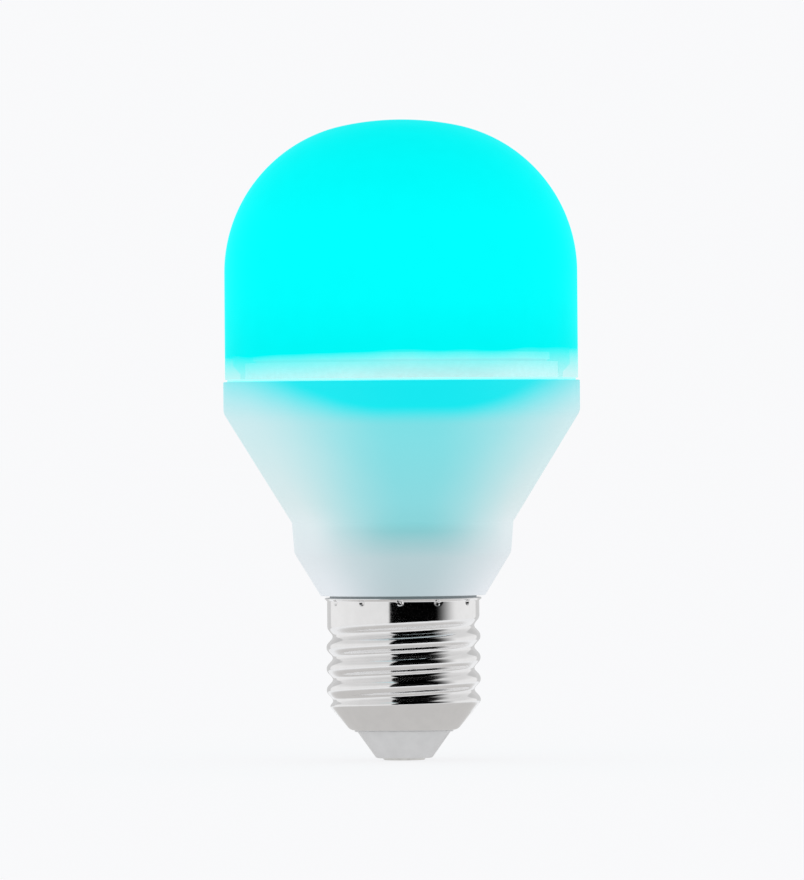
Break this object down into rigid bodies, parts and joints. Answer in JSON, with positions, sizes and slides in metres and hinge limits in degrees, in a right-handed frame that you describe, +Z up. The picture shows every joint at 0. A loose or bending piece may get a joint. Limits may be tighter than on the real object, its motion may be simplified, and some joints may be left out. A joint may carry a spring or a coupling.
{
  "type": "smart light bulb",
  "caption": "Lit smart light bulb with a tall round-topped diffuser, a waisted translucent housing and a screw cap.",
  "frame": {"origin": "middle of the end contact's outer face, on the bulb's axis", "axes": "+Z up the bulb's axis from the end contact to the top of the dome, -Y towards the viewer, +X to the viewer's right"},
  "size_m": [0.0606, 0.0606, 0.109],
  "materials": {
    "dome": "translucent, lit cyan from inside",
    "sealant": "cured white sealant",
    "housing": "translucent white, satin, with a cyan glow that fades downwards",
    "heat_sink": "drawn, bare",
    "liner": "thin formed sheet",
    "thermal_pad": "soft, matt",
    "light_board": "white solder mask",
    "cool_emitters": "phosphor in a white frame",
    "warm_emitters": "phosphor in a white frame",
    "colour_emitters": "clear resin in a white frame, lit",
    "chips": "moulded epoxy",
    "screws": "zinc plated",
    "circuit_board": "green solder mask",
    "varistor": "dipped lacquer",
    "ferrite": "sintered",
    "copper": "enamelled copper",
    "film_capacitor": "moulded box",
    "capacitor_sleeve": "shrink sleeve",
    "bobbin": "moulded",
    "winding_tape": "polyester tape over the winding",
    "output_capacitor": "shrink sleeve",
    "chip_capacitors": "fired",
    "shield": "tinned",
    "pins": "gold flashed",
    "resistor": "coated",
    "sleeve": "glass-fibre braid",
    "live_lead": "silicone insulation",
    "neutral_lead": "silicone insulation",
    "plated_shell": "bright nickel plate on thin sheet",
    "insulator": "moulded, light grey",
    "contact": "nickel plated"
  },
  "bodies": {
    "root": {"diffuser_dome": "dome", "seam_sealant": "sealant", "housing": "housing", "heat_sink": "heat_sink", "insulating_liner": "liner", "thermal_pad": "thermal_pad", "light_board": "light_board", "cool_white_emitters": "cool_emitters", "warm_white_emitters": "warm_emitters", "colour_emitters": "colour_emitters", "current_regulator": "chips", "light_board_screws": "screws", "driver_board": "circuit_board", "bridge_rectifier": "chips", "surge_varistor": "varistor", "filter_choke_core": "ferrite", "filter_choke_winding": "copper", "film_capacitor": "film_capacitor", "mains_capacitor": "capacitor_sleeve", "transformer_core": "ferrite", "transformer_bobbin": "bobbin", "transformer_winding": "winding_tape", "switching_controller": "chips", "output_diode": "chips", "output_capacitor": "output_capacitor", "chip_resistors": "chips", "chip_capacitors": "chip_capacitors", "radio_board": "circuit_board", "radio_shield": "shield", "radio_aerial": "copper", "header_block": "bobbin", "header_pins": "pins", "fusible_resistor": "resistor", "resistor_sleeve": "sleeve", "live_lead": "live_lead", "neutral_lead": "neutral_lead", "screw_shell": "plated_shell", "cap_insulator": "insulator", "end_contact": "contact"}
  },
  "joints": []
}
